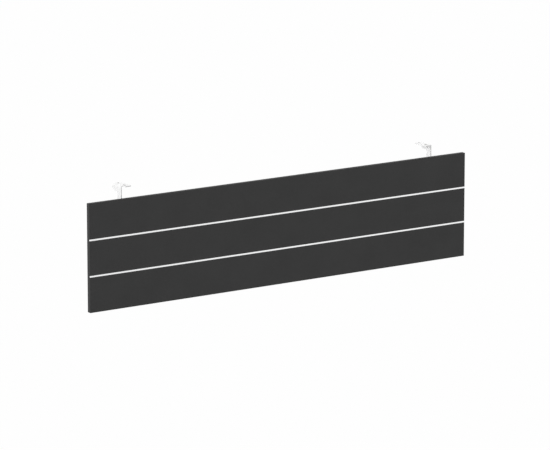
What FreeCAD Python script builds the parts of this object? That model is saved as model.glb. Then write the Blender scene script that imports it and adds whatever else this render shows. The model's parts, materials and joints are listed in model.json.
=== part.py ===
import FreeCAD, Part
import math
import os

from FreeCAD import Vector

# Desk modesty panel: an edge-banded board with two inlaid stripes, hung under a desktop
# by two bent steel brackets. Sizes are in millimetres.
# The origin is midway between the two rear desk holes, on the plane of the brackets' top faces,
# which meet the desktop's underside. +X runs along the panel, +Y away from its striped face, +Z up.

# Board and edge bands
panel_length = 1450.0
panel_height = 350.0
board_thickness = 16.0
band_thickness = 1.0
band_edge_radius = 0.6

# Inlaid stripes, centred at equal parts of the panel's height
stripe_names = ("lower_inlay_strip", "upper_inlay_strip")
stripe_width = 5.2
stripe_depth = 2.0

# Brackets, each bent from one sheet
sheet = 3.0
bend_inner_radius = 3.0
bend_relief = 1.0
bracket_inset = 126.0  # from the end of the panel to the bracket's outer face
desk_gap = 40.0  # from the top of the panel to the desktop's underside
free_edge_setback = 0.8  # the web's free front edge, behind the plane of the board's back

# Web of a bracket: an upright stem behind the board, with a flag behind its top
stem_depth = 23.5
stem_corner_radius = 12.0
flag_overhang = 29.5
flag_height = 21.0
flag_corner_radius = 8.0
flag_fillet_radius = 5.0

# Top flange of a bracket, with a tab that reaches forward over the board
top_flange_width = 30.5
top_flange_corner_radius = 3.0
tab_reach = 11.5

# Holes for the desk screws in a top flange: a round one behind, a slot in front
desk_hole_diameter = 7.5
desk_hole_inset = 17.4  # from the bracket's outer face
rear_hole_edge = 7.0  # from the flange's back edge to the hole's centre
desk_slot_travel = 7.5  # between the centres of the slot's round ends
slot_front_edge = 10.0  # from the tab's front edge to the slot's end

# Screws that hold a leg flange to the board
screw_places = ("upper", "middle", "lower")
screw_pitch = 32.0
screw_diameter = 6.0
screw_length = 12.0
screw_tip_chamfer = 0.8
screw_hole_clearance = 0.25  # all round the shank, in the flange
head_overhang = 2.25  # head's rim beyond the shank
head_dome_height = 2.1
head_flange_overhang = 1.55  # flange beyond the head's rim
head_flange_thickness = 1.2
hex_socket_width = 4.0
hex_socket_depth = 2.0
hex_socket_rim = 0.5  # flat ring round the socket's corners

# Leg flange of a bracket, flat on the back of the board
leg_flange_drop = 9.0  # from the top of the panel to the top of the flange
leg_flange_corner_radius = 5.0
screw_end_margin = 9.2  # from the end of the flange to the nearest head
screw_side_margin = 5.7  # from each side of the flange's flat to the heads

# Threaded insert nuts sunk in the back of the board
insert_length = 10.0
insert_wall = 1.15  # between the bore and the foot of the ridges
insert_ridge_depth = 0.8
insert_ridge_pitch = 2.5
insert_crest_width = 1.0
insert_thread_clearance = 0.05
insert_hole_spare_depth = 1.0

# A rounded corner takes at most this share of the wall beside it
largest_round = 0.9

# Places that the sizes above give
flag_depth = stem_depth + flag_overhang
back_face_y = -(flag_depth - rear_hole_edge)
front_face_y = back_face_y - board_thickness
panel_top_z = -desk_gap
panel_bottom_z = panel_top_z - panel_height
half_length = panel_length / 2.0
stripe_pitch = panel_height / (len(stripe_names) + 1)

shank_radius = screw_diameter / 2.0
head_radius = shank_radius + head_overhang
head_flange_radius = head_radius + head_flange_overhang
insert_bore_radius = shank_radius + insert_thread_clearance
insert_radius = insert_bore_radius + insert_wall + insert_ridge_depth
insert_hole_depth = max(insert_length, screw_length - sheet) + insert_hole_spare_depth

bend_outer_radius = bend_inner_radius + sheet
leg_top_z = panel_top_z - leg_flange_drop
first_screw_z = leg_top_z - screw_end_margin - head_flange_radius
screw_heights = [first_screw_z - i * screw_pitch for i in range(len(screw_places))]
leg_bottom_z = screw_heights[-1] - head_flange_radius - screw_end_margin
screw_inset = bend_outer_radius + screw_side_margin + head_flange_radius
leg_flange_width = screw_inset + head_flange_radius + screw_side_margin
screw_x = half_length - bracket_inset - screw_inset

half_diagonal = math.sqrt(0.5)  # sine and cosine of half a right angle
hex_sides = 6


def block(x0, x1, y0, y1, z0, z1):
    """A box between two corners."""
    return Part.makeBox(x1 - x0, y1 - y0, z1 - z0, Vector(x0, y0, z0))


def outline(corners, place):
    """A face with straight sides, whose corners (a, b, radius) are rounded. place turns (a, b) to a point."""
    spots = [place(a, b) for a, b, radius in corners]
    edges = []
    ends = []
    for i, corner in enumerate(spots):
        to_last = spots[i - 1] - corner
        to_next = spots[(i + 1) % len(spots)] - corner
        radius = min(corners[i][2], largest_round * min(to_last.Length, to_next.Length))
        if radius == 0:
            ends.append((corner, corner))
            continue
        half_angle = to_last.getAngle(to_next) / 2.0
        before = to_last.normalize()
        after = to_next.normalize()
        start = corner + before * (radius / math.tan(half_angle))
        end = corner + after * (radius / math.tan(half_angle))
        middle = corner + (before + after).normalize() * (radius / math.sin(half_angle) - radius)
        edges.append(Part.Arc(start, middle, end).toShape())
        ends.append((start, end))
    for i, (start, end) in enumerate(ends):
        edges.append(Part.LineSegment(ends[i - 1][1], start).toShape())
    return Part.Face(Part.Wire(Part.__sortEdges__(edges)))


def bend(place):
    """The section of a quarter bend in the sheet, from the web at a = 0 to a flange at b = 0."""
    outer_middle = bend_outer_radius * (1.0 - half_diagonal)
    inner_middle = bend_outer_radius - bend_inner_radius * half_diagonal
    web_outer = place(0.0, bend_outer_radius)
    web_inner = place(sheet, bend_outer_radius)
    flange_outer = place(bend_outer_radius, 0.0)
    flange_inner = place(bend_outer_radius, sheet)
    edges = [
        Part.Arc(web_outer, place(outer_middle, outer_middle), flange_outer).toShape(),
        Part.LineSegment(flange_outer, flange_inner).toShape(),
        Part.Arc(flange_inner, place(inner_middle, inner_middle), web_inner).toShape(),
        Part.LineSegment(web_inner, web_outer).toShape(),
    ]
    return Part.Face(Part.Wire(edges))


def banded_board():
    """The board, its four edge bands and its inlay strips, cut from one block with rounded edges."""
    whole = block(-half_length, half_length, front_face_y, back_face_y, panel_bottom_z, panel_top_z)
    whole = whole.makeFillet(min(band_edge_radius, largest_round * band_thickness), whole.Edges)

    pieces = {}
    groove_floor_y = front_face_y + stripe_depth
    for i, name in enumerate(stripe_names):
        low = panel_bottom_z + stripe_pitch * (i + 1) - stripe_width / 2.0
        groove = block(-half_length, half_length, front_face_y, groove_floor_y, low, low + stripe_width)
        pieces[name] = whole.common(groove)
        whole = whole.cut(groove)

    inner_half = half_length - band_thickness
    inner_top = panel_top_z - band_thickness
    inner_bottom = panel_bottom_z + band_thickness
    slices = {
        "top_edge_band": (-half_length, half_length, inner_top, panel_top_z),
        "bottom_edge_band": (-half_length, half_length, panel_bottom_z, inner_bottom),
        "left_edge_band": (-half_length, -inner_half, inner_bottom, inner_top),
        "right_edge_band": (inner_half, half_length, inner_bottom, inner_top),
        "panel_board": (-inner_half, inner_half, inner_bottom, inner_top),
    }
    for name, (x0, x1, z0, z1) in slices.items():
        pieces[name] = whole.common(block(x0, x1, front_face_y, back_face_y, z0, z1))

    for x in (-screw_x, screw_x):
        for height in screw_heights:
            mouth = Vector(x, back_face_y, height)
            hole = Part.makeCylinder(insert_radius, insert_hole_depth, mouth, Vector(0, -1, 0))
            pieces["panel_board"] = pieces["panel_board"].cut(hole)
    return pieces


def bracket_web():
    """The upright plate, square to the board: flag above, stem below, and a step for the leg bend."""
    corners = [
        (free_edge_setback, -bend_outer_radius, 0),
        (flag_depth, -bend_outer_radius, 0),
        (flag_depth, -flag_height, flag_corner_radius),
        (stem_depth, -flag_height, flag_fillet_radius),
        (stem_depth, leg_bottom_z, stem_corner_radius),
        (bend_outer_radius, leg_bottom_z, 0),
        (bend_outer_radius, leg_top_z + bend_relief, 0),
        (free_edge_setback, leg_top_z + bend_relief, 0),
    ]
    return outline(corners, lambda y, z: Vector(0, y, z)).extrude(Vector(sheet, 0, 0))


def bracket_top_flange():
    """The plate under the desktop, with its forward tab, its round hole and its slot."""
    tab_side = bend_outer_radius + bend_relief
    corners = [
        (bend_outer_radius, free_edge_setback, 0),
        (tab_side, free_edge_setback, 0),
        (tab_side, -tab_reach, top_flange_corner_radius),
        (top_flange_width, -tab_reach, top_flange_corner_radius),
        (top_flange_width, flag_depth, top_flange_corner_radius),
        (bend_outer_radius, flag_depth, 0),
    ]
    down = Vector(0, 0, -sheet)
    plate = outline(corners, lambda x, y: Vector(x, y, 0)).extrude(down)

    radius = desk_hole_diameter / 2.0
    slot_front = slot_front_edge + radius - tab_reach
    slot_back = slot_front + desk_slot_travel
    cuts = [block(desk_hole_inset - radius, desk_hole_inset + radius, slot_front, slot_back, -sheet, 0)]
    for y in (slot_front, slot_back, flag_depth - rear_hole_edge):
        cuts.append(Part.makeCylinder(radius, sheet, Vector(desk_hole_inset, y, 0), down))
    for tool in cuts:
        plate = plate.cut(tool)
    return plate


def bracket_leg_flange():
    """The plate that lies on the back of the board, with its screw holes."""
    corners = [
        (bend_outer_radius, leg_bottom_z, 0),
        (leg_flange_width, leg_bottom_z, leg_flange_corner_radius),
        (leg_flange_width, leg_top_z, leg_flange_corner_radius),
        (bend_outer_radius, leg_top_z, 0),
    ]
    back = Vector(0, 1, 0)
    plate = outline(corners, lambda x, z: Vector(x, 0, z)).extrude(back * sheet)
    for height in screw_heights:
        mouth = Vector(screw_inset, 0, height)
        plate = plate.cut(Part.makeCylinder(shank_radius + screw_hole_clearance, sheet, mouth, back))
    return plate


def left_bracket():
    """The left bracket in place: web, two flanges and the bends between them, as one sheet."""
    top_bend = bend(lambda a, b: Vector(a, free_edge_setback, -b))
    leg_bend = bend(lambda a, b: Vector(a, b, leg_bottom_z))
    others = [
        bracket_top_flange(),
        bracket_leg_flange(),
        top_bend.extrude(Vector(0, flag_depth - free_edge_setback, 0)),
        leg_bend.extrude(Vector(0, 0, leg_top_z - leg_bottom_z)),
    ]
    bracket = bracket_web().multiFuse(others).removeSplitter()
    bracket.translate(Vector(bracket_inset - half_length, back_face_y, 0))
    return bracket


def path_edges(points):
    """Straight edges through points (x, y)."""
    spots = [Vector(x, y, 0) for x, y in points]
    return [Part.LineSegment(a, b).toShape() for a, b in zip(spots, spots[1:])]


def turned(edges):
    """A solid turned about the Y axis, from the edges of its half section in the XY plane."""
    section = Part.Face(Part.Wire(Part.__sortEdges__(edges)))
    return section.revolve(Vector(0, 0, 0), Vector(0, 1, 0), 360.0)


def flange_head_screw():
    """A domed screw with a flanged head and a hex socket. Its seat is at y = 0, its head towards +Y."""
    head_height = head_flange_thickness + head_dome_height
    socket_radius = hex_socket_width / 2.0 / math.cos(math.pi / hex_sides)
    crown_radius = socket_radius + hex_socket_rim
    below = path_edges([
        (0, head_height),
        (0, -screw_length),
        (shank_radius - screw_tip_chamfer, -screw_length),
        (shank_radius, screw_tip_chamfer - screw_length),
        (shank_radius, 0),
        (head_flange_radius, 0),
        (head_flange_radius, head_flange_thickness),
        (head_radius, head_flange_thickness),
    ])
    dome_rim = Vector(head_radius, head_flange_thickness, 0)
    dome_middle = Vector(
        crown_radius + (head_radius - crown_radius) * half_diagonal,
        head_flange_thickness + head_dome_height * half_diagonal,
        0,
    )
    dome = Part.Arc(dome_rim, dome_middle, Vector(crown_radius, head_height, 0)).toShape()
    crown = path_edges([(crown_radius, head_height), (0, head_height)])
    screw = turned(below + [dome] + crown)

    floor = head_height - hex_socket_depth
    ring = []
    for i in range(hex_sides + 1):
        angle = 2.0 * math.pi * i / hex_sides
        ring.append(Vector(socket_radius * math.cos(angle), floor, socket_radius * math.sin(angle)))
    socket = Part.Face(Part.makePolygon(ring)).extrude(Vector(0, hex_socket_depth, 0))
    return screw.cut(socket)


def insert_nut():
    """A nut with a ridged outside. Its mouth is at y = 0 and its body runs towards -Y."""
    root_radius = insert_radius - insert_ridge_depth
    ridges = max(1, round(insert_length / insert_ridge_pitch))
    step = insert_length / ridges
    crest = min(insert_crest_width, largest_round * step)
    flank = (step - crest) / 3.0  # each groove is a flank, a floor and a flank of equal length
    points = [(insert_bore_radius, 0), (insert_radius, 0)]
    for i in range(ridges):
        y = -step * i - crest
        points.append((insert_radius, y))
        points.append((root_radius, y - flank))
        points.append((root_radius, y - 2.0 * flank))
        points.append((insert_radius, -step * (i + 1)))
    points += [(insert_bore_radius, -insert_length), (insert_bore_radius, 0)]
    return turned(path_edges(points))


def fixings():
    """The screws and insert nuts of both brackets, each a piece of its own."""
    pieces = {}
    for side, x in (("left", -screw_x), ("right", screw_x)):
        for place, height in zip(screw_places, screw_heights):
            screw = flange_head_screw()
            screw.translate(Vector(x, back_face_y + sheet, height))
            pieces[f"{side}_{place}_screw"] = screw
            nut = insert_nut()
            nut.translate(Vector(x, back_face_y, height))
            pieces[f"{side}_{place}_insert_nut"] = nut
    return pieces


parts = banded_board()
parts["left_bracket"] = left_bracket()
parts["right_bracket"] = parts["left_bracket"].mirror(Vector(0, 0, 0), Vector(1, 0, 0))
parts.update(fixings())

os.makedirs("parts", exist_ok=True)
for node, shape in parts.items():
    print(node, "solids", len(shape.Solids), "valid", shape.isValid(), "mm3", round(shape.Volume, 1))
    shape.exportStep(f"parts/{node}.step")
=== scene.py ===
import bmesh
import bpy
import json
import math
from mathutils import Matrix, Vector


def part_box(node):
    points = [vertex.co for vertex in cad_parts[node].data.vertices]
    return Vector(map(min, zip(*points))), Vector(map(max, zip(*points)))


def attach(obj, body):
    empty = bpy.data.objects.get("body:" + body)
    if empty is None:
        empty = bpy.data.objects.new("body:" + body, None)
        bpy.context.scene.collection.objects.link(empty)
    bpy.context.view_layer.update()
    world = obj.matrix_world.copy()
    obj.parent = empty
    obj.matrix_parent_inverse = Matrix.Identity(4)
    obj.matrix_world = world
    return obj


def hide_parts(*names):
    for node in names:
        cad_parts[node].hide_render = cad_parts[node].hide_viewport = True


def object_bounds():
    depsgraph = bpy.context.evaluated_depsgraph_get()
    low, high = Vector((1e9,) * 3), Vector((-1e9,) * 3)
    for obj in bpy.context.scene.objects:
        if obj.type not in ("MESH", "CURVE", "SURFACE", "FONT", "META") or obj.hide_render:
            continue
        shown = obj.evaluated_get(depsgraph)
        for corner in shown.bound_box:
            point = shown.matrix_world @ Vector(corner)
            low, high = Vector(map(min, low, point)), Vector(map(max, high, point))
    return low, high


# Desk modesty panel: a dark banded board with two bright inlays, hung from two white bent brackets
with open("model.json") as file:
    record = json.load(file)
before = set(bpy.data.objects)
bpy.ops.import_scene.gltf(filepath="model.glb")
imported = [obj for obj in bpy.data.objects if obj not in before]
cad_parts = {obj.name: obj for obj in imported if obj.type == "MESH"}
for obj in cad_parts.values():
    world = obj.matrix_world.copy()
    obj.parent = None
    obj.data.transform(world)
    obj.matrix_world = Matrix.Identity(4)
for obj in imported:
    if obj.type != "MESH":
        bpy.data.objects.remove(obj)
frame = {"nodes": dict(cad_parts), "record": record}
cadLow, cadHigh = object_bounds()
mm = 0.001
print("frame loaded:", len(frame["nodes"]), "nodes")

mounts = {mount["name"]: mount for mount in frame["record"]["mounts"]}
boardLow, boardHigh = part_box("panel_board")
panelLow = Vector((cadLow.x, boardLow.y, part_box("bottom_edge_band")[0].z))
panelHigh = Vector((cadHigh.x, boardHigh.y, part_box("top_edge_band")[1].z))
sides = ("left", "right")
heights = ("upper", "middle", "lower")
stripes = ("upper_inlay_strip", "lower_inlay_strip")


# Handling a mesh

shaping = {
    "samePlace": 0.01 * mm,  # places closer than this count as one
    "weld": 0.004 * mm,  # points closer than this are merged
    "sharpAngle": 35,  # edges that turn by more are rounded, in degrees
}


def deselect():
    bpy.ops.object.select_all(action="DESELECT")


def takeUp(piece):
    deselect()
    bpy.context.view_layer.objects.active = piece
    piece.select_set(True)


def openMesh(piece):
    takeUp(piece)
    bpy.ops.object.mode_set(mode="EDIT")


def closeMesh():
    bpy.ops.object.mode_set(mode="OBJECT")


def pick(kind, test):
    # selects the vertices or edges whose middle passes the test
    mesh = bpy.context.edit_object.data
    bpy.ops.mesh.select_mode(type=kind)
    bpy.ops.mesh.select_all(action="DESELECT")
    shape = bmesh.from_edit_mesh(mesh)
    for part in shape.verts if kind == "VERT" else shape.edges:
        corners = [part.co] if kind == "VERT" else [corner.co for corner in part.verts]
        part.select_set(test(sum(corners, Vector()) / len(corners)))
    shape.select_flush_mode()
    bmesh.update_edit_mesh(mesh)


def near(a, b):
    return abs(a - b) < shaping["samePlace"]


def pull(x=0, y=0, z=0):
    # extrudes what is picked
    bpy.ops.mesh.extrude_region_move(TRANSFORM_OT_translate={"value": (x, y, z)})


def weldAll():
    bpy.ops.mesh.select_all(action="SELECT")
    bpy.ops.mesh.remove_doubles(threshold=shaping["weld"])


def applyModifier(piece, kind, **settings):
    modifier = piece.modifiers.new(kind.lower(), kind)
    for name, value in settings.items():
        setattr(modifier, name, value)
    takeUp(piece)
    bpy.ops.object.modifier_apply(modifier=modifier.name)


def settle():
    # the place, turn and size of what is selected go into its mesh
    bpy.ops.object.transform_apply(location=True, rotation=True, scale=True)


def startBox(low, high):
    # a cube pulled out between two corners
    deselect()
    bpy.ops.mesh.primitive_cube_add(size=1, location=(low + high) / 2, scale=high - low)
    settle()
    return bpy.context.object


drill = {
    "sides": 46,  # not a multiple of four, so a slot's straight sides start between two corners
    "overrun": 1.0 * mm,  # past both faces
}


def drillBit(mouth, along, radius, depth, travel=0.0):
    # a cutter for a round hole from its mouth along a direction; travel stretches it to a slot along Y
    length = depth + 2 * drill["overrun"]
    deselect()
    bpy.ops.mesh.primitive_cylinder_add(
        vertices=drill["sides"], radius=radius, depth=length,
        location=mouth + along * depth / 2, rotation=along.to_track_quat("Z", "Y").to_euler(),
    )
    settle()
    bit = bpy.context.object
    if travel:
        openMesh(bit)
        pick("VERT", lambda spot: spot.y > mouth.y)
        bpy.ops.transform.translate(value=(0, travel / 2, 0))
        pick("VERT", lambda spot: spot.y < mouth.y)
        bpy.ops.transform.translate(value=(0, -travel / 2, 0))
        closeMesh()
    return bit


def cutAway(piece, cutters, wallShade=None):
    # the cutters joined to one tool, then one exact cut; its walls may have a material of their own, which
    # on the brackets paints the shade inside the holes
    deselect()
    for cutter in cutters:
        cutter.select_set(True)
    bpy.context.view_layer.objects.active = cutters[0]
    bpy.ops.object.join()
    tool = bpy.context.object
    if wallShade:
        tool.data.materials.append(wallShade)
    applyModifier(
        piece, "BOOLEAN", operation="DIFFERENCE", solver="EXACT",
        object=tool, material_mode="TRANSFER",
    )
    bpy.data.objects.remove(tool)


def easeEdges(piece, width, steps):
    # rounds every sharp edge a little; the flat faces keep their shading
    takeUp(piece)
    bpy.ops.object.shade_smooth()
    applyModifier(
        piece, "BEVEL", width=width, segments=steps, limit_method="ANGLE",
        angle_limit=math.radians(shaping["sharpAngle"]), harden_normals=True,
    )
    openMesh(piece)
    weldAll()  # the rounding leaves a few points on top of each other
    closeMesh()


def handOver(piece, name, node, material):
    # the finished piece stands for its CAD node
    piece.name = name
    piece.data.name = name
    if material.name not in piece.data.materials:
        piece.data.materials.clear()
        piece.data.materials.append(material)
    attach(piece, "root")
    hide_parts(node)


# Handling a material

def linear(hexColour):
    # sRGB hex to the linear values that a shader takes
    channels = [int(hexColour[i:i + 2], 16) / 255 for i in (1, 3, 5)]
    return [c / 12.92 if c <= 0.04045 else ((c + 0.055) / 1.055) ** 2.4 for c in channels] + [1.0]


def addNode(tree, kind, settings, links):
    # settings and links go by attribute or socket name
    node = tree.nodes.new(kind)
    for name, value in settings.items():
        if isinstance(name, str) and hasattr(node, name):
            setattr(node, name, value)
        else:
            node.inputs[name].default_value = value
    for name, socket in links.items():
        tree.links.new(socket, node.inputs[name])
    return node


def newMaterial(name):
    material = bpy.data.materials.new(name)
    material.use_nodes = True
    tree = material.node_tree
    tree.nodes.clear()
    place = addNode(tree, "ShaderNodeTexCoord", {}, {}).outputs["Object"]
    return material, tree, place


def perMetre(size):
    # scale of a pattern whose features are this many millimetres across
    return 1 / (size * mm)


# Melamine facing: pressed paper with a fine pearl grain. The eye gets a dead matt, even dark grey
# that breaks up into tiny pits close to.
facing = {
    "dark": "#4A4A4A",
    "light": "#555555",
    "darkAt": 0.25,  # heights of the pattern where the two colours are reached
    "lightAt": 0.65,
    "cloudSize": 90,  # faint unevenness of the print
    "cloudDetail": 3,
    "grainSize": 1.2,  # real pearl grain is about 0.4 mm, drawn coarser so that it shows
    "grainShare": 0.75,  # the clouds have the rest of the colour
    "grainDepth": 0.13 * mm,
    "roughLow": 0.70,
    "roughHigh": 0.82,
    "specular": 0.03,
}


def melamineFacing():
    material, tree, place = newMaterial("melamineFacing")
    cloud = addNode(tree, "ShaderNodeTexNoise", {
        "Scale": perMetre(facing["cloudSize"]), "Detail": facing["cloudDetail"]}, {"Vector": place})
    grain = addNode(tree, "ShaderNodeTexVoronoi", {
        "Scale": perMetre(facing["grainSize"]), "feature": "SMOOTH_F1"}, {"Vector": place})
    both = addNode(tree, "ShaderNodeMix", {"Factor": facing["grainShare"]}, {
        "A": cloud.outputs["Fac"], "B": grain.outputs["Distance"]})
    colour = addNode(tree, "ShaderNodeValToRGB", {}, {"Fac": both.outputs["Result"]})
    colour.color_ramp.elements[0].color = linear(facing["dark"])
    colour.color_ramp.elements[1].color = linear(facing["light"])
    colour.color_ramp.elements[0].position = facing["darkAt"]
    colour.color_ramp.elements[1].position = facing["lightAt"]
    rough = addNode(tree, "ShaderNodeMapRange", {
        "To Min": facing["roughLow"], "To Max": facing["roughHigh"]}, {"Value": grain.outputs["Distance"]})
    bump = addNode(tree, "ShaderNodeBump", {"Distance": facing["grainDepth"]}, {
        "Height": grain.outputs["Distance"]})
    shader = addNode(tree, "ShaderNodeBsdfPrincipled", {"Specular IOR Level": facing["specular"]}, {
        "Base Color": colour.outputs["Color"],
        "Roughness": rough.outputs["Result"],
        "Normal": bump.outputs["Normal"],
    })
    addNode(tree, "ShaderNodeOutputMaterial", {}, {"Surface": shader.outputs["BSDF"]})
    return material


# ABS edge band: extruded plastic with a faint embossed grain. A little more sheen than the facing,
# drawn out along the band.
band = {
    "dark": "#424242",
    "light": "#464646",
    "streakLength": 60,
    "streakWidth": 1.5,  # real emboss is about 0.3 mm, drawn coarser so that it shows
    "streakDetail": 4,
    "embossDepth": 0.10 * mm,
    "roughLow": 0.62,
    "roughHigh": 0.74,
    "specular": 0.04,
    "radius": 0.6 * mm,  # scraped outer edges
    "radiusSteps": 5,
    "ease": 0.075 * mm,
    "easeSteps": 2,
}


def absEdgeBand(name, alongX):
    material, tree, place = newMaterial(name)
    long, fine = perMetre(band["streakLength"]), perMetre(band["streakWidth"])
    stretch = (long, fine, fine) if alongX else (fine, fine, long)
    along = addNode(tree, "ShaderNodeMapping", {"Scale": stretch}, {"Vector": place})
    streak = addNode(tree, "ShaderNodeTexNoise", {"Scale": 1, "Detail": band["streakDetail"]}, {
        "Vector": along.outputs["Vector"]})
    colour = addNode(tree, "ShaderNodeValToRGB", {}, {"Fac": streak.outputs["Fac"]})
    colour.color_ramp.elements[0].color = linear(band["dark"])
    colour.color_ramp.elements[1].color = linear(band["light"])
    rough = addNode(tree, "ShaderNodeMapRange", {
        "To Min": band["roughLow"], "To Max": band["roughHigh"]}, {"Value": streak.outputs["Fac"]})
    bump = addNode(tree, "ShaderNodeBump", {"Distance": band["embossDepth"]}, {
        "Height": streak.outputs["Fac"]})
    shader = addNode(tree, "ShaderNodeBsdfPrincipled", {"Specular IOR Level": band["specular"]}, {
        "Base Color": colour.outputs["Color"],
        "Roughness": rough.outputs["Result"],
        "Normal": bump.outputs["Normal"],
    })
    addNode(tree, "ShaderNodeOutputMaterial", {}, {"Surface": shader.outputs["BSDF"]})
    return material


# Satin aluminium: an extruded strip, brushed lengthwise and anodised. It takes its brightness from the
# white room around it, softened along the brush lines.
inlay = {
    "dark": "#F6F7F7",
    "light": "#FDFDFD",
    "brushLength": 80,
    "brushWidth": 0.5,
    "brushDetail": 3,
    "brushDepth": 0.01 * mm,
    "brushStrength": 0.3,
    "roughLow": 0.24,
    "roughHigh": 0.36,
    "ease": 0.3 * mm,  # rounded arrises
    "easeSteps": 3,
}


def satinAluminium():
    material, tree, place = newMaterial("satinAluminium")
    long, fine = perMetre(inlay["brushLength"]), perMetre(inlay["brushWidth"])
    along = addNode(tree, "ShaderNodeMapping", {"Scale": (long, fine, fine)}, {"Vector": place})
    brush = addNode(tree, "ShaderNodeTexNoise", {"Scale": 1, "Detail": inlay["brushDetail"]}, {
        "Vector": along.outputs["Vector"]})
    colour = addNode(tree, "ShaderNodeValToRGB", {}, {"Fac": brush.outputs["Fac"]})
    colour.color_ramp.elements[0].color = linear(inlay["dark"])
    colour.color_ramp.elements[1].color = linear(inlay["light"])
    rough = addNode(tree, "ShaderNodeMapRange", {
        "To Min": inlay["roughLow"], "To Max": inlay["roughHigh"]}, {"Value": brush.outputs["Fac"]})
    bump = addNode(tree, "ShaderNodeBump", {
        "Strength": inlay["brushStrength"], "Distance": inlay["brushDepth"]}, {
        "Height": brush.outputs["Fac"]})
    shader = addNode(tree, "ShaderNodeBsdfPrincipled", {"Metallic": 1.0}, {
        "Base Color": colour.outputs["Color"],
        "Roughness": rough.outputs["Result"],
        "Normal": bump.outputs["Normal"],
    })
    addNode(tree, "ShaderNodeOutputMaterial", {}, {"Surface": shader.outputs["BSDF"]})
    return material


# White powder coat: polyester powder baked on the steel. Smooth white with a soft gloss and a faint
# orange-peel waviness.
coat = {
    "dark": "#F8F8F8",
    "light": "#FBFBFB",
    "peelSize": 2.5,
    "peelDepth": 0.04 * mm,
    "roughLow": 0.36,
    "roughHigh": 0.46,
}


def whitePowderCoat():
    material, tree, place = newMaterial("whitePowderCoat")
    peel = addNode(tree, "ShaderNodeTexNoise", {"Scale": perMetre(coat["peelSize"])}, {"Vector": place})
    colour = addNode(tree, "ShaderNodeValToRGB", {}, {"Fac": peel.outputs["Fac"]})
    colour.color_ramp.elements[0].color = linear(coat["dark"])
    colour.color_ramp.elements[1].color = linear(coat["light"])
    rough = addNode(tree, "ShaderNodeMapRange", {
        "To Min": coat["roughLow"], "To Max": coat["roughHigh"]}, {"Value": peel.outputs["Fac"]})
    bump = addNode(tree, "ShaderNodeBump", {"Distance": coat["peelDepth"]}, {"Height": peel.outputs["Fac"]})
    shader = addNode(tree, "ShaderNodeBsdfPrincipled", {}, {
        "Base Color": colour.outputs["Color"],
        "Roughness": rough.outputs["Result"],
        "Normal": bump.outputs["Normal"],
    })
    addNode(tree, "ShaderNodeOutputMaterial", {}, {"Surface": shader.outputs["BSDF"]})
    return material


# Painted shade in the holes: the walls of the holes in the coated sheet get a dull grey metal, darker than
# the coat, which stands in for the shade inside them, so that each hole reads as a dark spot in the white.
# Upright lines run along it.
holeShade = {
    # painted shade: greys darker than the white coat, for the walls of the holes
    "dark": "#BABAB8",
    "light": "#CECECC",
    "lineWidth": 0.4,
    "lineLength": 6.0,
    "roughLow": 0.55,
    "roughHigh": 0.75,
}


def paintedHoleShade():
    material, tree, place = newMaterial("paintedHoleShade")
    fine, long = perMetre(holeShade["lineWidth"]), perMetre(holeShade["lineLength"])
    along = addNode(tree, "ShaderNodeMapping", {"Scale": (fine, fine, long)}, {"Vector": place})
    uprightLines = addNode(tree, "ShaderNodeTexNoise", {"Scale": 1}, {"Vector": along.outputs["Vector"]})
    colour = addNode(tree, "ShaderNodeValToRGB", {}, {"Fac": uprightLines.outputs["Fac"]})
    colour.color_ramp.elements[0].color = linear(holeShade["dark"])
    colour.color_ramp.elements[1].color = linear(holeShade["light"])
    rough = addNode(tree, "ShaderNodeMapRange", {
        "To Min": holeShade["roughLow"], "To Max": holeShade["roughHigh"]}, {"Value": uprightLines.outputs["Fac"]})
    shader = addNode(tree, "ShaderNodeBsdfPrincipled", {"Metallic": 1.0}, {
        "Base Color": colour.outputs["Color"], "Roughness": rough.outputs["Result"]})
    addNode(tree, "ShaderNodeOutputMaterial", {}, {"Surface": shader.outputs["BSDF"]})
    return material


# Zinc plated steel: a thin bright plating with a bluish passivation that varies from place to place.
zinc = {
    "dark": "#A9AEB6",
    "light": "#CDD0D2",
    "stainSize": 3.0,
    "stainDetail": 4,
    "roughLow": 0.28,
    "roughHigh": 0.45,
}


def zincPlatedSteel():
    material, tree, place = newMaterial("zincPlatedSteel")
    stain = addNode(tree, "ShaderNodeTexNoise", {
        "Scale": perMetre(zinc["stainSize"]), "Detail": zinc["stainDetail"]}, {"Vector": place})
    colour = addNode(tree, "ShaderNodeValToRGB", {}, {"Fac": stain.outputs["Fac"]})
    colour.color_ramp.elements[0].color = linear(zinc["dark"])
    colour.color_ramp.elements[1].color = linear(zinc["light"])
    rough = addNode(tree, "ShaderNodeMapRange", {
        "To Min": zinc["roughLow"], "To Max": zinc["roughHigh"]}, {"Value": stain.outputs["Fac"]})
    shader = addNode(tree, "ShaderNodeBsdfPrincipled", {"Metallic": 1.0}, {
        "Base Color": colour.outputs["Color"], "Roughness": rough.outputs["Result"]})
    addNode(tree, "ShaderNodeOutputMaterial", {}, {"Surface": shader.outputs["BSDF"]})
    return material


# Turned brass: free-cutting bar off the lathe, yellow with fine tool rings across its axis.
brass = {
    "dark": "#A8843F",
    "light": "#CFAE66",
    "ringSize": 0.4,
    "roughness": 0.32,
}


def turnedBrass():
    material, tree, place = newMaterial("turnedBrass")
    stretch = (1, perMetre(brass["ringSize"]), 1)
    rings = addNode(tree, "ShaderNodeMapping", {"Scale": stretch}, {"Vector": place})
    tool = addNode(tree, "ShaderNodeTexNoise", {"Scale": 1}, {"Vector": rings.outputs["Vector"]})
    colour = addNode(tree, "ShaderNodeValToRGB", {}, {"Fac": tool.outputs["Fac"]})
    colour.color_ramp.elements[0].color = linear(brass["dark"])
    colour.color_ramp.elements[1].color = linear(brass["light"])
    shader = addNode(tree, "ShaderNodeBsdfPrincipled", {
        "Metallic": 1.0, "Roughness": brass["roughness"]}, {"Base Color": colour.outputs["Color"]})
    addNode(tree, "ShaderNodeOutputMaterial", {}, {"Surface": shader.outputs["BSDF"]})
    return material


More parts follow.
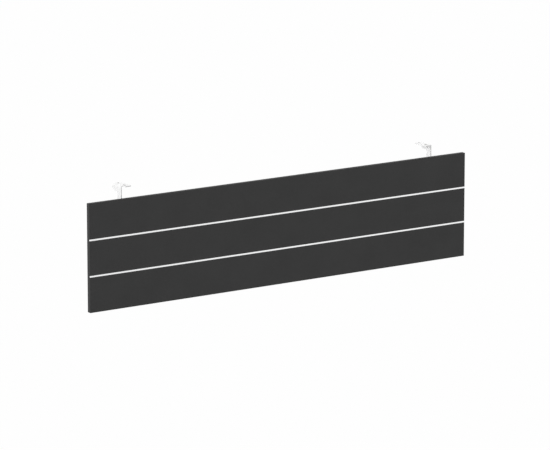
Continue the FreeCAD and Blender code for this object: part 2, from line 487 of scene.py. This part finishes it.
facingLook = melamineFacing()
lengthwiseBandLook = absEdgeBand("absEdgeBandLengthwise", True)
uprightBandLook = absEdgeBand("absEdgeBandUpright", False)
inlayLook = satinAluminium()
coatLook = whitePowderCoat()
# painted shade for the walls of the brackets' holes
holeShadeLook = paintedHoleShade()
zincLook = zincPlatedSteel()
brassLook = turnedBrass()
print("materials made")


# Board, edge bands and inlay strips

board = {
    "ease": 0.15 * mm,  # broken arrises, which leave a hairline joint along the bands
    "easeSteps": 2,
    "insertRadius": 5.0 * mm,
    "insertDepth": 11.0 * mm,
}


def stripeCutters():
    # one box for each inlay strip, longer than the panel and open to the front
    over = Vector((drill["overrun"], drill["overrun"], 0))
    cutters = []
    for node in stripes:
        low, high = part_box(node)
        cutters.append(startBox(low - over, high + Vector((over.x, 0, 0))))
    return cutters


def makeBoard():
    piece = startBox(boardLow, boardHigh)
    cutters = stripeCutters()
    inwards = Vector((0, -1, 0))
    for side in sides:
        for height in heights:
            low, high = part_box(f"{side}_{height}_insert_nut")
            mouth = Vector(((low.x + high.x) / 2, boardHigh.y, (low.z + high.z) / 2))
            cutters.append(drillBit(mouth, inwards, board["insertRadius"], board["insertDepth"]))
    cutAway(piece, cutters)
    easeEdges(piece, board["ease"], board["easeSteps"])
    handOver(piece, "panelBoard", "panel_board", facingLook)


def outerSides(spot):
    # how many outer faces of the panel a point lies on
    return sum(near(spot[i], panelLow[i]) or near(spot[i], panelHigh[i]) for i in range(3))


def scrapeEdges(piece, test):
    # the radius that the scraper leaves on the outer edges, along the bands and over the strips' ends
    openMesh(piece)
    pick("EDGE", test)
    bpy.ops.mesh.bevel(offset=band["radius"], segments=band["radiusSteps"], affect="EDGES")
    closeMesh()


def makeBand(node, name, look, grooved):
    piece = startBox(*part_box(node))
    scrapeEdges(piece, lambda spot: outerSides(spot) >= 2)
    if grooved:
        cutAway(piece, stripeCutters())
    easeEdges(piece, band["ease"], band["easeSteps"])
    handOver(piece, name, node, look)


def makeInlay(node, name):
    piece = startBox(*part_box(node))
    scrapeEdges(piece, lambda spot: near(spot.y, panelLow.y) and near(abs(spot.x), panelHigh.x))
    easeEdges(piece, inlay["ease"], inlay["easeSteps"])
    handOver(piece, name, node, inlayLook)


makeBoard()
makeBand("top_edge_band", "topEdgeBand", lengthwiseBandLook, False)
makeBand("bottom_edge_band", "bottomEdgeBand", lengthwiseBandLook, False)
makeBand("left_edge_band", "leftEdgeBand", uprightBandLook, True)
makeBand("right_edge_band", "rightEdgeBand", uprightBandLook, True)
makeInlay("upper_inlay_strip", "upperInlayStrip")
makeInlay("lower_inlay_strip", "lowerInlayStrip")
print("board, bands and inlays made")


# Brackets, each bent from one sheet

bracket = {
    "sheet": 3.0 * mm,
    "bendRadius": 6.0 * mm,  # outside of the bends
    "bendSteps": 8,
    "relief": 1.0 * mm,
    "setback": 0.8 * mm,  # free front edge behind the back of the board
    "stemDepth": 23.5 * mm,
    "stemCorner": 12.0 * mm,
    "flagHeight": 21.0 * mm,
    "flagCorner": 8.0 * mm,
    "flagFillet": 5.0 * mm,
    "topWidth": 30.5 * mm,
    "topCorner": 3.0 * mm,
    "legDrop": 9.0 * mm,  # leg flange below the top of the panel
    "legCorner": 5.0 * mm,
    "cornerSteps": 8,
    "flatAngle": 1,  # faces that turn by less become one flat, in degrees
    "screwHole": 3.25 * mm,
    "ease": 0.15 * mm,  # coat rounds the cut edges
    "easeSteps": 2,
}


def roundCorner(place, radius):
    pick("VERT", lambda spot: (spot - Vector(place)).length < shaping["samePlace"])
    bpy.ops.mesh.bevel(offset=radius, segments=bracket["cornerSteps"], affect="VERTICES")


def leftBracket():
    low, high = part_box("left_bracket")
    web = low.x
    top = high.z
    flagBack = high.y
    tabFront = low.y
    legBottom = low.z
    legEdge = high.x
    legFace = boardHigh.y
    freeEdge = legFace + bracket["setback"]
    bendStart = legFace + bracket["bendRadius"]
    stemBack = legFace + bracket["stemDepth"]
    flagBottom = top - bracket["flagHeight"]
    legTop = panelHigh.z - bracket["legDrop"]
    tabSide = web + bracket["bendRadius"] + bracket["relief"]
    topEdge = web + bracket["topWidth"]

    # lower part of the stem as a plane that faces outwards
    deselect()
    middle = Vector((web, (bendStart + stemBack) / 2, (legBottom + legTop) / 2))
    bpy.ops.mesh.primitive_plane_add(size=1, location=middle, rotation=(0, -math.pi / 2, 0))
    piece = bpy.context.object
    piece.scale = (legTop - legBottom, stemBack - bendStart, 1)
    settle()
    openMesh(piece)

    # up the stem to the top, then forward to the free edge and back to the flag's end
    level = legTop
    for nextLevel in (legTop + bracket["relief"], flagBottom, top):
        pick("EDGE", lambda spot: near(spot.z, level))
        pull(z=nextLevel - level)
        level = nextLevel
    pick("EDGE", lambda spot: near(spot.y, bendStart) and spot.z > legTop + bracket["relief"])
    pull(y=freeEdge - bendStart)
    pick("EDGE", lambda spot: near(spot.y, stemBack) and spot.z > flagBottom)
    pull(y=flagBack - stemBack)

    # top flange, its tab over the board, and the leg flange
    pick("EDGE", lambda spot: near(spot.z, top))
    pull(x=tabSide - web)
    pick("EDGE", lambda spot: near(spot.x, tabSide))
    pull(x=topEdge - tabSide)
    pick("EDGE", lambda spot: near(spot.y, freeEdge) and spot.x > tabSide)
    pull(y=tabFront - freeEdge)
    pick("EDGE", lambda spot: near(spot.y, bendStart) and spot.z < legTop)
    pull(y=legFace - bendStart)
    pick("EDGE", lambda spot: near(spot.y, legFace) and spot.z < legTop)
    pull(x=legEdge - web)

    # one face for each flat, then round corners and bends
    bpy.ops.mesh.select_all(action="SELECT")
    bpy.ops.mesh.dissolve_limited(angle_limit=math.radians(bracket["flatAngle"]))
    roundCorner((web, flagBack, flagBottom), bracket["flagCorner"])
    roundCorner((web, stemBack, flagBottom), bracket["flagFillet"])
    roundCorner((web, stemBack, legBottom), bracket["stemCorner"])
    roundCorner((topEdge, flagBack, top), bracket["topCorner"])
    roundCorner((topEdge, tabFront, top), bracket["topCorner"])
    roundCorner((tabSide, tabFront, top), bracket["topCorner"])
    roundCorner((legEdge, legFace, legTop), bracket["legCorner"])
    roundCorner((legEdge, legFace, legBottom), bracket["legCorner"])
    pick("EDGE", lambda spot: near(spot.x, web) and (near(spot.z, top) or near(spot.y, legFace)))
    bpy.ops.mesh.bevel(offset=bracket["bendRadius"], segments=bracket["bendSteps"], affect="EDGES")
    closeMesh()
    applyModifier(piece, "SOLIDIFY", thickness=bracket["sheet"], offset=-1, use_even_offset=True)

    # desk holes in the top flange, screw holes in the leg flange
    down, backwards = Vector((0, 0, -1)), Vector((0, 1, 0))
    rear = mounts["desk_fixing_holes"]["dims"]
    front = mounts["left_desk_slot"]
    mouth = Vector((-rear["spacing_x_mm"] * mm / 2, 0, top))
    cutters = [drillBit(mouth, down, rear["hole_r_mm"] * mm, bracket["sheet"])]
    slotRadius = front["dims"]["hole_r_mm"] * mm
    travel = front["dims"]["slot_length_mm"] * mm - 2 * slotRadius
    cutters.append(drillBit(Vector(front["pos_m"]), down, slotRadius, bracket["sheet"], travel))
    for height in heights:
        screwLow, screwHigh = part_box(f"left_{height}_screw")
        spot = (screwLow + screwHigh) / 2
        spot.y = legFace
        cutters.append(drillBit(spot, backwards, bracket["screwHole"], bracket["sheet"]))
    piece.data.materials.append(coatLook)
    # the hole walls take the grey that paints the shade inside the holes
    cutAway(piece, cutters, holeShadeLook)
    easeEdges(piece, bracket["ease"], bracket["easeSteps"])
    return piece


def mirrored(piece):
    # a copy with its own mesh on the other side
    takeUp(piece)
    bpy.ops.object.duplicate(linked=False)
    copy = bpy.context.object
    copy.scale.x = -1
    settle()
    openMesh(copy)
    bpy.ops.mesh.select_all(action="SELECT")
    bpy.ops.mesh.normals_make_consistent(inside=False)
    closeMesh()
    return copy


leftOne = leftBracket()
rightOne = mirrored(leftOne)
handOver(leftOne, "leftBracket", "left_bracket", coatLook)
handOver(rightOne, "rightBracket", "right_bracket", coatLook)
print("brackets made")


# Flange-head screws and insert nuts

screw = {
    "shank": 3.0 * mm,
    "length": 12.0 * mm,
    "tipChamfer": 0.8 * mm,
    "flange": 6.8 * mm,
    "flangeThickness": 1.2 * mm,
    "head": 5.25 * mm,
    "domeHeight": 2.1 * mm,
    "domeSteps": 8,
    "socketSides": 6,
    "socketAcross": 4.0 * mm,
    "socketDepth": 2.0 * mm,
    "socketRim": 0.5 * mm,
    "turnSteps": 48,
    "ease": 0.15 * mm,
    "easeSteps": 2,
}
socketCorner = screw["socketAcross"] / 2 / math.cos(math.pi / screw["socketSides"])
crownHeight = screw["flangeThickness"] + screw["domeHeight"]


def screwProfile():
    # half section from the tip to the crown, as (radius, height above the seat)
    crown = socketCorner + screw["socketRim"]
    tip = -screw["length"]
    points = [
        (0, tip),
        (screw["shank"] - screw["tipChamfer"], tip),
        (screw["shank"], tip + screw["tipChamfer"]),
        (screw["shank"], 0),
        (screw["flange"], 0),
        (screw["flange"], screw["flangeThickness"]),
    ]
    for i in range(screw["domeSteps"] + 1):
        angle = math.pi / 2 * i / screw["domeSteps"]
        radius = crown + (screw["head"] - crown) * math.cos(angle)
        points.append((radius, screw["flangeThickness"] + screw["domeHeight"] * math.sin(angle)))
    points.append((0, crownHeight))
    return points


def makeScrew(seat):
    # a plane shrunk to one point, drawn along the profile and spun about the screw's axis
    points = screwProfile()
    deselect()
    bpy.ops.mesh.primitive_plane_add(size=mm, location=(0, 0, 0))
    piece = bpy.context.object
    openMesh(piece)
    bpy.ops.mesh.select_all(action="SELECT")
    bpy.ops.mesh.merge(type="CENTER")
    bpy.ops.transform.translate(value=(points[0][0], points[0][1], 0))
    for (radius, height), (nextRadius, nextHeight) in zip(points, points[1:]):
        pull(x=nextRadius - radius, y=nextHeight - height)
    bpy.ops.mesh.select_all(action="SELECT")
    bpy.ops.mesh.spin(steps=screw["turnSteps"], angle=2 * math.pi, center=(0, 0, 0), axis=(0, 1, 0))
    weldAll()
    bpy.ops.mesh.normals_make_consistent(inside=False)
    closeMesh()

    # hex socket
    deselect()
    bpy.ops.mesh.primitive_cylinder_add(
        vertices=screw["socketSides"], radius=socketCorner, depth=2 * screw["socketDepth"],
        location=(0, crownHeight, 0), rotation=(math.pi / 2, 0, 0),
    )
    settle()
    cutAway(piece, [bpy.context.object])
    easeEdges(piece, screw["ease"], screw["easeSteps"])
    piece.location = seat
    takeUp(piece)
    settle()
    return piece


def screwSeat(node):
    low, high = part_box(node)
    return Vector(((low.x + high.x) / 2, boardHigh.y + bracket["sheet"], (low.z + high.z) / 2))


firstNode = "left_upper_screw"
firstScrew = makeScrew(screwSeat(firstNode))
for side in sides:
    for height in heights:
        node = f"{side}_{height}_screw"
        piece = firstScrew
        if node != firstNode:
            takeUp(firstScrew)
            bpy.ops.object.duplicate(linked=False)
            piece = bpy.context.object
            piece.location = screwSeat(node) - screwSeat(firstNode)
            settle()
        handOver(piece, f"{side}{height.title()}Screw", node, zincLook)
        nut = frame["nodes"][f"{side}_{height}_insert_nut"]
        nut.data.materials.clear()
        nut.data.materials.append(brassLook)
print("screws made, insert nuts finished")


# Floor, light and camera

studio = {
    "floorHeight": -0.715,  # a desktop's underside is about this high above the floor
    "floorSize": 60.0,
    "floorColour": "#B8B8B8",
    "floorShow": 0.985,  # share of plain white in what the camera sees, so that the shadow stays faint
    "skyLight": 0.54,
    "lampAngle": 50,  # soft, as from large lamps near by
}
lamps = {
    "overheadLamp": {"towards": (1.0, 0.45, 1.0), "strength": 1.1},
    "leftLamp": {"towards": (-1.0, 0.12, 0.22), "strength": 1.95},
}


def seenDirectly(tree):
    # 1 for rays from the camera, and for what metal and glass show
    rays = addNode(tree, "ShaderNodeLightPath", {}, {})
    mirror = addNode(tree, "ShaderNodeMath", {"operation": "MAXIMUM"}, {
        0: rays.outputs["Is Glossy Ray"], 1: rays.outputs["Is Transmission Ray"]})
    return addNode(tree, "ShaderNodeMath", {"operation": "MAXIMUM"}, {
        0: rays.outputs["Is Camera Ray"], 1: mirror.outputs[0]}).outputs[0]


def makeFloor():
    deselect()
    bpy.ops.mesh.primitive_plane_add(size=studio["floorSize"], location=(0, 0, studio["floorHeight"]))
    floor = bpy.context.object
    floor.name = "floor"
    material, tree = newMaterial("paintedFloor")[:2]
    seen = seenDirectly(tree)
    show = addNode(tree, "ShaderNodeMath", {"operation": "MULTIPLY", 1: studio["floorShow"]}, {0: seen})
    paint = addNode(tree, "ShaderNodeBsdfDiffuse", {"Color": linear(studio["floorColour"])}, {})
    white = addNode(tree, "ShaderNodeEmission", {"Strength": 1.0}, {})
    mixed = addNode(tree, "ShaderNodeMixShader", {}, {
        0: show.outputs[0], 1: paint.outputs["BSDF"], 2: white.outputs["Emission"]})
    addNode(tree, "ShaderNodeOutputMaterial", {}, {"Surface": mixed.outputs["Shader"]})
    floor.data.materials.append(material)


def makeLight():
    world = bpy.data.worlds.new("studio")
    bpy.context.scene.world = world
    world.use_nodes = True
    tree = world.node_tree
    tree.nodes.clear()
    level = addNode(tree, "ShaderNodeMapRange", {"To Min": studio["skyLight"], "To Max": 1.0}, {
        "Value": seenDirectly(tree)})
    sky = addNode(tree, "ShaderNodeBackground", {"Color": (1, 1, 1, 1)}, {
        "Strength": level.outputs["Result"]})
    addNode(tree, "ShaderNodeOutputWorld", {}, {"Surface": sky.outputs["Background"]})

    for name, lamp in lamps.items():
        data = bpy.data.lights.new(name, "SUN")
        data.energy = lamp["strength"]
        data.angle = math.radians(studio["lampAngle"])
        light = bpy.data.objects.new(name, data)
        light.rotation_euler = Vector(lamp["towards"]).to_track_quat("Z", "Y").to_euler()
        bpy.context.scene.collection.objects.link(light)


view = {
    "place": (-6.7772, -10.2313, 2.5238),
    "turn": 33.56,  # to the right of straight on
    "tilt": 12.547,  # below level
    "lens": 254.23,
    "reach": 100,  # far enough for the whole floor
}


def makeCamera():
    data = bpy.data.cameras.new("camera")
    data.lens = view["lens"]
    data.clip_end = view["reach"]
    camera = bpy.data.objects.new("camera", data)
    camera.location = view["place"]
    camera.rotation_euler = (math.radians(90 - view["tilt"]), 0, -math.radians(view["turn"]))
    bpy.context.scene.collection.objects.link(camera)
    bpy.context.scene.camera = camera


makeFloor()
makeLight()
makeCamera()
bpy.context.scene.view_settings.view_transform = "Standard"
print("floor, light and camera set")
